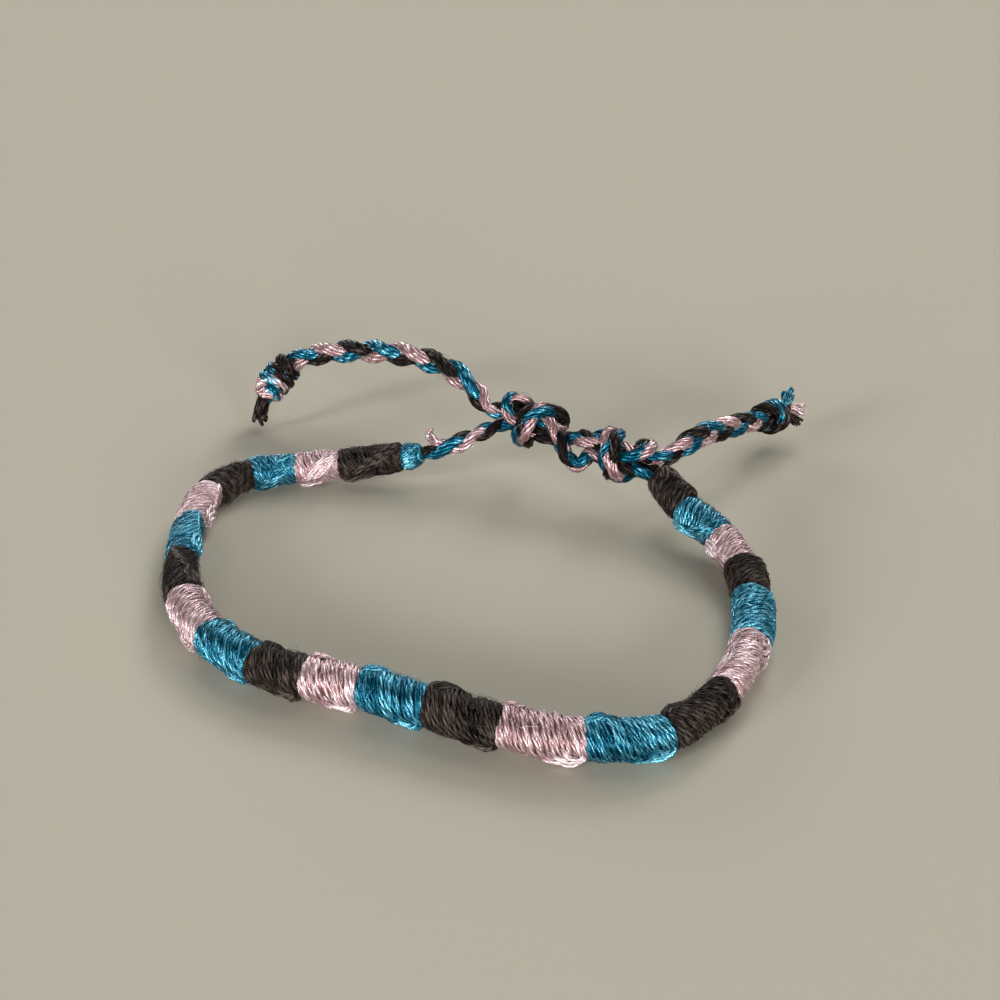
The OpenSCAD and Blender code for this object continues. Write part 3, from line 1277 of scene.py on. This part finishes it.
LEFT_TIE = (
    LEFT_START
    + knot_rows(KNOT_CORE, LEFT_KNOT, 1, LEFT_ROLL)
    + LEFT_BETWEEN
    + knot_rows(KNOT_TURNS, RIGHT_KNOT, -1, RIGHT_ROLL)
    + LEFT_TAIL
)
RIGHT_TIE = (
    RIGHT_START
    + knot_rows(KNOT_CORE, RIGHT_KNOT, -1, RIGHT_ROLL)
    + RIGHT_BETWEEN
    + knot_rows(KNOT_TURNS, LEFT_KNOT, 1, LEFT_ROLL)
    + RIGHT_TAIL
)


def held_in_knots(line: np.ndarray) -> tuple[np.ndarray, np.ndarray]:
    """Finds how the closing knots hold a line.

    Args:
        line: places on the line.

    Returns:
        How tightly each place is held, from 0 to 1, and its offset from its knot's axis.
    """
    axis = unit(np.subtract(RIGHT_KNOT, LEFT_KNOT))
    held, offset = np.zeros(len(line)), np.zeros(line.shape)
    for middle in (LEFT_KNOT, RIGHT_KNOT):
        away = line - np.array(middle)
        near = smooth((KNOT_REACH - np.linalg.norm(away, axis=1)) / KNOT_EASE)
        held += near
        offset += near[:, None] * (away - (away @ axis)[:, None] * axis)
    return held, offset


def carried_sides(
    line: np.ndarray, lean: np.ndarray | None = None
) -> tuple[np.ndarray, np.ndarray]:
    """Carries two directions across a line along it without twisting.

    Args:
        line: places on the line.
        lean: a direction at each place that the one up is drawn to, as strongly as it is long.

    Returns:
        The direction to the side and the direction up, one row a place.
    """
    along = unit(np.gradient(line, axis=0))
    aside = unit(np.cross(along[0], UP))
    carried = []
    for place, heading in enumerate(along):
        if lean is not None:
            up = np.cross(heading, aside)
            pull = lean[place] if np.dot(lean[place], up) >= 0 else -lean[place]
            aside = np.cross(up + pull, heading)
        aside = unit(aside - np.dot(aside, heading) * heading)
        carried.append(aside)
    across = np.array(carried)
    return across, np.cross(along, across)


@dataclass
class Bundle:
    """A strand of the plait: filaments that twist round each other.

    Attributes:
        filaments: how many there are.
        filament_share: a filament's thickness as a share of the strand's.
        ply_pitch: length in which they go round each other once, in millimetres.
        fray_from: where a frayed strand starts to spread, as a share of its length.
        inner_share: how far out every third filament of a frayed strand lies, beside the others.
        tone_spread: how much their tones differ from the middle of them.
        tone_step: how far on in the wave of tones each next filament is, in radians.
    """

    filaments: int = 6
    filament_share: float = 0.42
    ply_pitch: float = 10.0
    fray_from: float = 0.45
    inner_share: float = 0.34
    tone_spread: float = 0.25
    tone_step: float = 2.4

    def lay(
        self,
        colour: Colour,
        line: np.ndarray,
        radius: np.ndarray,
        tone: float | np.ndarray,
        fray: float = 0,
    ) -> list[Filament]:
        """Fills a strand with filaments.

        Args:
            colour: the strand's colour.
            line: places on its middle.
            radius: its radius at each place.
            tone: the middle of its filaments' tones.
            fray: how far the filaments spread at the strand's trimmed end, beside its radius.

        Returns:
            The filaments, which end unevenly where the strand is frayed.
        """
        across, up = carried_sides(line)
        run = distances(line)
        spread = 1 + fray * smooth((run / run[-1] - self.fray_from) / (1 - self.fray_from))
        threads = []
        for k in range(self.filaments):
            phase = 2 * np.pi * (k / self.filaments + run / self.ply_pitch)
            out = radius * (1 - self.filament_share) * spread
            if fray and k % 3 == 0:
                out = out * self.inner_share
            last = len(line) - (k * 5 % 4 if fray else 0)
            place = set_round(line, out, phase, across, up)[:last]
            own_tone = tone + self.tone_spread * math.sin(self.tone_step * k)
            own_tone = np.broadcast_to(own_tone, len(line))[:last]
            threads.append(Filament(place, radius[:last] * self.filament_share, colour, own_tone))
        return threads


@dataclass
class Plait:
    """A plait of three strands along a route.

    Attributes:
        order: the strands' colours.
        spacing: distance between places along the route, in millimetres.
        passes: how many times the route's turns are eased.
        strand_share: a strand's thickness as a share of the plait's.
        flatness: how flat the plait is.
        pitch_share: length of one whole crossing of the three strands, in diameters.
        tight_d: diameter of the route where the plait is drawn tight, in millimetres.
        loose_d: diameter from which it isn't.
        knot_swell: how much thicker the plait is than its route where it is drawn tight.
        knot_full: how much fuller its strands are in the closing knots.
        knot_draw: how far the knots draw it to their axis.
        knot_spread: how much further apart its strands lie in them.
        knot_press: how much flatter it lies in them.
        knot_lean: how strongly it turns its flat side to their axis.
    """

    order: tuple[Colour, ...] = (Colour.TEAL, Colour.BROWN, Colour.PINK)
    spacing: float = 0.4
    passes: int = 3
    strand_share: float = 0.55
    flatness: float = 0.66
    pitch_share: float = 4.2
    tight_d: float = 1.6
    loose_d: float = 2.3
    knot_swell: float = 0.48
    knot_full: float = 0.14
    knot_draw: float = 0.12
    knot_spread: float = 0.6
    knot_press: float = 0.5
    knot_lean: float = 0.2

    def strands(self, rows: np.ndarray) -> list[tuple[Colour, np.ndarray, np.ndarray]]:
        """Plaits three strands, drawn in and laid flat where a closing knot holds them.

        Args:
            rows: x, y, z and diameter at even distances.

        Returns:
            For each strand its colour, its places and its radius at each.
        """
        held, offset = held_in_knots(rows[:, :3])
        line, size = rows[:, :3] - self.knot_draw * offset, rows[:, 3]
        tight = np.clip((self.loose_d - size) / (self.loose_d - self.tight_d), 0, 1)
        size = size * (1 + self.knot_swell * tight)
        across, up = carried_sides(line, self.knot_lean * offset)
        step = np.linalg.norm(np.diff(line, axis=0), axis=1)
        turn = np.r_[0, np.cumsum(step / (self.pitch_share * size[1:]))]
        radius = size * self.strand_share / 2 * (1 + self.knot_full * held)
        wide = (size / 2 - radius) * (1 + self.knot_spread * held)
        tall = (size / 2 - radius) * self.flatness * (1 - self.knot_press * held)
        made = []
        for k, colour in enumerate(self.order):
            phase = 2 * np.pi * (turn + k / 3)
            sideways = (wide * np.sin(phase))[:, None] * across
            upwards = (tall * np.sin(2 * phase))[:, None] * up
            made.append((colour, line + sideways + upwards, radius))
        return made


@dataclass
class EndKnot:
    """The overhand knot at the end of a tie, and its trimmed strands.

    Attributes:
        side: left or right.
        rows: the knot's middle line with its diameters.
        ends: a row of places for each trimmed strand.
        finishes: the materials, in the order of Colour.
        wraps: colours of the strands that go round the knot.
        tips: colours of the trimmed strands.
        turns: how many times each strand goes round.
        first_angle: where it starts, in degrees.
        drift: how far it moves along the knot on its way, in millimetres.
        strand_gap: distance from strand to strand along the knot.
        strand_r: a strand's radius.
        sway: how far it sways across its neighbours.
        sways: how many times it does.
        sway_lead: how much further on in its sway each next strand is, as a share of one.
        wrap_r: how far its middle is from the knot's.
        hop: how far it rises and sinks while it sways.
        root_r: how far its two ends are from the knot's middle line.
        margin: how far its middle stays inside the knot's surface.
        ease: the share of its length at each end in which it comes out of the knot or goes in.
        places: how many places it has.
        end_share: how thick its two ends are, beside the rest of it.
        first_tone: the first strand's tone.
        tone_step: how much lighter each next one is.
        core_d: thickness of the plait inside the knot.
        wrap_place: where the strands lie, as a share of the knot's length.
        tuck: how far trimmed strands go into the knot, as a share of their first stretch.
        tip_share: how thick they are, beside their rows.
        tip_tone: their tone.
        tip_fray: how far their ends spread.
    """

    side: str
    rows: list[Row]
    ends: list[list[Row]]
    finishes: Finishes
    wraps: tuple[Colour, ...] = (Colour.BROWN, Colour.TEAL, Colour.BROWN, Colour.TEAL)
    tips: tuple[Colour, ...] = (Colour.TEAL, Colour.PINK, Colour.BROWN)
    turns: float = 1.5
    first_angle: float = 40.0
    drift: float = 2.6
    strand_gap: float = 0.82
    strand_r: float = 0.8
    sway: float = 0.42
    sways: float = 2.1
    sway_lead: float = 0.07
    wrap_r: float = 1.5
    hop: float = 0.12
    root_r: float = 0.5
    margin: float = 0.55
    ease: float = 0.16
    places: int = 64
    end_share: float = 0.8
    first_tone: float = 0.25
    tone_step: float = 0.08
    core_d: float = 2.6
    wrap_place: float = 0.52
    tuck: float = 0.6
    tip_share: float = 0.86
    tip_tone: float = 0.6
    tip_fray: float = 0.22

    def wrapped(self) -> list[Filament]:
        """Wraps strands round the knot's middle, which cross each other on their way.

        Returns:
            Their filaments.
        """
        rows = Route(self.rows).evenly(spacing=0.1, passes=6)
        run = distances(rows[:, :3])
        across, up = carried_sides(rows[:, :3])
        u, bundle, threads = np.linspace(0, 1, self.places), Bundle(), []
        out = smooth(u / self.ease) * smooth((1 - u) / self.ease)
        radius = self.strand_r * (self.end_share + (1 - self.end_share) * out)
        for k, colour in enumerate(self.wraps):
            swing = 2 * np.pi * (self.sways * u + k / 2 + self.sway_lead * k)
            place = run[-1] * self.wrap_place + self.drift * (u - 0.5)
            place += (k - (len(self.wraps) - 1) / 2) * self.strand_gap
            place += self.sway * np.sin(swing) * out
            hold, side, rise = (read_off(place, run, table) for table in (rows, across, up))
            reach = np.minimum(self.wrap_r - self.hop * np.cos(swing), hold[:, 3] / 2 - self.margin)
            reach = self.root_r + (reach - self.root_r) * out
            phase = np.radians(self.first_angle + 360 * self.turns * u)
            line = set_round(hold[:, :3], reach, phase, side, rise)
            threads += bundle.lay(colour, line, radius, self.first_tone + self.tone_step * k)
        return threads

    def trimmed(self) -> list[Filament]:
        """Lays the trimmed strands that stick out of the knot.

        Returns:
            Their filaments.
        """
        bundle, threads = Bundle(filaments=12, filament_share=0.28, ply_pitch=9.0), []
        for colour, rows in zip(self.tips, self.ends):
            inside = np.array(rows[0]) - self.tuck * (np.array(rows[1]) - np.array(rows[0]))
            tip = Route([tuple(inside), *rows]).evenly(spacing=0.25, passes=2)
            radius = tip[:, 3] / 2 * self.tip_share
            threads += bundle.lay(colour, tip[:, :3], radius, self.tip_tone, self.tip_fray)
        return threads

    def build(self, core: list[Filament]) -> bpy.types.Object:
        """Builds the knot in its CAD bulb's place.

        Args:
            core: the plait's filaments that run on through the knot.

        Returns:
            The knot.
        """
        name = f"end_knot_threads_{self.side}"
        threads = core + self.wrapped() + self.trimmed()
        mesh = swept_mesh(name, threads, THREAD_STEPS, self.finishes)
        piece = joined(name, [mesh], self.finishes)
        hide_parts(f"end_knot_{self.side}")
        LOG.info("%s: %d faces", name, len(piece.data.polygons))
        return piece


@dataclass(frozen=True)
class PlaitHairs:
    """The stray fibres of a tie. A pair holds the least and the most that is drawn.

    Attributes:
        count: how many there are.
        clear: how many of the tie's first and last places they keep clear of.
        run: how many of its places they run along.
        swing: how far they run round it, in degrees.
        root: how far from its middle they start, in diameters.
        lift: how much further out they bow, in diameters.
        lifted: the share of that lift.
        bow_turn: how much of a bow they make, in radians.
        radius: their radius, in millimetres.
        tone: their tone.
        places: how many places each has.
    """

    count: int = 130
    clear: tuple[int, int] = (4, 14)
    run: Span = (2, 8)
    swing: float = 60.0
    root: float = 0.36
    lift: float = 0.2
    lifted: Span = (0.3, 1)
    bow_turn: float = 2.6
    radius: Span = (0.01, 0.018)
    tone: float = 1.1
    places: int = 6


@dataclass
class Tie:
    """A plaited tie with the knot at its end.

    Attributes:
        side: left or right.
        rows: its route with its diameters.
        finishes: the materials, in the order of Colour.
        plait: how it is plaited.
        end: the knot at its end.
        diameter: its usual thickness, in millimetres; not used.
        tuft: places on a bit of strand that sticks up beside it, or none.
        hairs: its stray fibres.
        first_tone: its first strand's tone.
        tone_step: how much lighter each next one is.
        held_d: diameter of the route below which its strands get painted shade, inside the closing knots.
        held_over: how much thinner it is where they are darkest.
        held_shade: how much darker they are painted there.
        tuft_tone: the tuft's tone.
        tuft_fray: how far its end spreads.
    """

    side: str
    rows: list[Row]
    finishes: Finishes
    plait: Plait
    end: EndKnot
    diameter: float
    tuft: list[Row] = field(default_factory=list)
    hairs: PlaitHairs = PlaitHairs()
    first_tone: float = 0.28
    tone_step: float = 0.06
    held_d: float = 1.75
    held_over: float = 0.15
    held_shade: float = 0.2
    tuft_tone: float = 0.6
    tuft_fray: float = 0.3

    def stray(self, line: np.ndarray, size: np.ndarray) -> list[Filament]:
        """Pulls stray fibres out of the plait.

        Args:
            line: places on the tie's middle.
            size: its diameter at each place.

        Returns:
            Short thin fibres that start in the plait.
        """
        own, chance = self.hairs, np.random.default_rng(len(line))
        across, up = carried_sides(line)
        tables = (line, across, up, size[:, None])
        known, hairs, u = np.arange(len(line)), [], np.linspace(0, 1, own.places)
        for _ in range(own.count):
            first = int(chance.integers(own.clear[0], len(line) - own.clear[1]))
            at = first + u * chance.uniform(*own.run)
            turn = np.radians(chance.uniform(0, 360) + chance.normal(0, own.swing) * u)
            hold, side, rise, thick = (read_off(at, known, table) for table in tables)
            lift = own.lift * chance.uniform(*own.lifted) * np.sin(own.bow_turn * u)
            place = set_round(hold, thick[:, 0] * (own.root + lift), turn, side, rise)
            colour = Colour(int(chance.integers(0, len(Colour))))
            thin = np.full(own.places, chance.uniform(*own.radius))
            hairs.append(Filament(place, thin, colour, own.tone))
        return hairs

    def plaited(self, even: np.ndarray) -> tuple[list[Filament], list[Filament]]:
        """Plaits the tie and runs its strands on through the knot at its end.

        Args:
            even: the tie's rows at even distances.

        Returns:
            The tie's filaments, and those inside the knot.
        """
        whole = Route(self.rows + self.end.rows[1:]).evenly(self.plait.spacing, self.plait.passes)
        last = int(np.argmin(np.linalg.norm(whole[:, :3] - even[-1, :3], axis=1)))
        whole[last:, 3] = np.minimum(whole[last:, 3], self.end.core_d)
        held = np.clip((self.held_d - whole[:, 3]) / self.held_over, 0, 1)
        bundle, threads, core = Bundle(), [], []
        for number, (colour, line, radius) in enumerate(self.plait.strands(whole)):
            # Strands held in the closing knots are painted darker: painted shade
            tone = self.first_tone + self.tone_step * number - self.held_shade * held
            for filament in bundle.lay(colour, line, radius, tone):
                before, after = filament.cut(last)
                threads.append(before)
                core.append(after)
        if self.tuft:
            bit = Route(self.tuft).evenly(spacing=0.25, passes=1)
            radius = bit[:, 3] / 2
            threads += bundle.lay(Colour.PINK, bit[:, :3], radius, self.tuft_tone, self.tuft_fray)
        return threads, core

    def build(self) -> None:
        rows = Route(self.rows).evenly(self.plait.spacing, self.plait.passes)
        threads, core = self.plaited(rows)
        name = f"plait_{self.side}"
        stray = self.stray(rows[:, :3], rows[:, 3])
        meshes = [
            swept_mesh(name, threads, THREAD_STEPS, self.finishes),
            swept_mesh(name + "_stray", stray, HAIR_STEPS, self.finishes),
        ]
        piece = joined(name, meshes, self.finishes)
        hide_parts(f"tie_{self.side}")
        self.end.build(core)


@dataclass(frozen=True)
class Window:
    """The soft light of a window far off, so that it lights the whole floor alike.

    Attributes:
        name: name of the light.
        way: direction from the bracelet to the window.
        breadth: how broad the window looks from the bracelet, in degrees.
        power: its light on a surface that faces it, in watts a square metre.
    """

    name: str
    way: Point
    breadth: float
    power: float

    def build(self) -> None:
        """Adds the light."""
        lamp = bpy.data.lights.new(self.name, "SUN")
        lamp.angle = math.radians(self.breadth)
        lamp.energy = self.power
        holder = bpy.data.objects.new(self.name, lamp)
        holder.rotation_euler = Vector(self.way).to_track_quat("Z", "Y").to_euler()
        bpy.context.scene.collection.objects.link(holder)


WINDOWS = (
    Window("front_window", (0.1, -1.0, 0.18), 14, 2.3),
    Window("left_window", (-0.78, -0.55, 0.22), 16, 2.4),
    Window("right_window", (0.5, -0.8, 0.22), 16, 1.6),
    Window("back_window", (-0.5, 0.85, 0.3), 24, 1.0),
    Window("far_window", (0.3, 0.8, 0.6), 20, 1.25),
    Window("roof_window", (0.4, 0.5, 0.85), 45, 0.95),
)


@dataclass
class Studio:
    """A pale floor, low windows and soft light overhead, and the camera at the photo's angle.

    Attributes:
        eye: place of the camera, in millimetres.
        pitch: how far it looks down, in degrees.
        lens: its focal length and the width of its sensor, in millimetres.
        nearest: how close to it things still show, in metres.
        floor_reach: half the floor's side, in metres.
        floor_colour: the floor's colour.
        floor_roughness: how dull it is.
        sky_colour: colour of the light from all round.
        sky_power: strength of that light.
    """

    eye: Point = (4.8, -90.3, 60.0)
    pitch: float = 28.37
    lens: Span = (36, 36)
    nearest: float = 0.002
    floor_reach: float = 4.0
    floor_colour: Rgb = (0.42, 0.39, 0.316)
    floor_roughness: float = 0.85
    sky_colour: Rgb = (0.9, 0.94, 1.0)
    sky_power: float = 0.14

    def camera(self) -> None:
        """Places the camera."""
        lens = bpy.data.cameras.new("camera")
        lens.lens, lens.sensor_width = self.lens
        lens.clip_start = self.nearest
        camera = bpy.data.objects.new("camera", lens)
        camera.location = [x * MM for x in self.eye]
        camera.rotation_euler = (math.radians(90 - self.pitch), 0, 0)
        bpy.context.scene.collection.objects.link(camera)
        bpy.context.scene.camera = camera

    def floor(self) -> None:
        """Lays the floor."""
        work = bmesh.new()
        bmesh.ops.create_grid(work, x_segments=8, y_segments=8, size=self.floor_reach)
        mesh = bpy.data.meshes.new("floor")
        work.to_mesh(mesh)
        work.free()
        floor = bpy.data.objects.new("floor", mesh)
        bpy.context.scene.collection.objects.link(floor)
        paint = bpy.data.materials.new("pale_floor")
        paint.use_nodes = True
        shader = paint.node_tree.nodes["Principled BSDF"]
        shader.inputs["Base Color"].default_value = (*self.floor_colour, 1)
        shader.inputs["Roughness"].default_value = self.floor_roughness
        shader.inputs["Specular IOR Level"].default_value = 0.0
        mesh.materials.append(paint)

    def light(self) -> None:
        """Lights the scene with its windows and a pale sky."""
        for window in WINDOWS:
            window.build()
        world = bpy.data.worlds.new("pale_sky")
        world.use_nodes = True
        sky = world.node_tree.nodes["Background"]
        sky.inputs["Color"].default_value = (*self.sky_colour, 1)
        sky.inputs["Strength"].default_value = self.sky_power
        bpy.context.scene.world = world
        bpy.context.scene.view_settings.view_transform = "Standard"

    def build(self) -> None:
        """Sets up the camera, the floor and the lights."""
        self.camera()
        self.floor()
        self.light()


def main() -> None:
    """Builds the scene: the camera and the cords first, then the band."""
    logging.basicConfig(level=logging.INFO, format="%(name)s %(message)s")
    Studio().build()
    shading = FibreShading()
    finishes = [finish.make(shading) for finish in FINISHES]
    left_end = EndKnot("left", LEFT_END, LEFT_ENDS, finishes)
    right_end = EndKnot(
        "right",
        RIGHT_END,
        RIGHT_ENDS,
        finishes,
        wraps=(Colour.BROWN, Colour.TEAL, Colour.BROWN, Colour.TEAL, Colour.PINK),
        tips=(Colour.BROWN,),
        drift=3.0,
        strand_gap=0.85,
        strand_r=0.86,
        sway=0.55,
        sways=1.9,
        wrap_r=1.58,
        core_d=3.1,
        wrap_place=0.66,
    )
    left_plait = Plait(pitch_share=3.8)
    right_plait = Plait(order=(Colour.PINK, Colour.BROWN, Colour.TEAL))
    Tie("left", LEFT_TIE, finishes, left_plait, left_end, diameter=3.0, tuft=TUFT).build()
    Tie("right", RIGHT_TIE, finishes, right_plait, right_end, diameter=3.4).build()
    band = WrappedBand(finishes)
    band.build()
    band.dress_core()


if __name__ == "__main__":
    main()
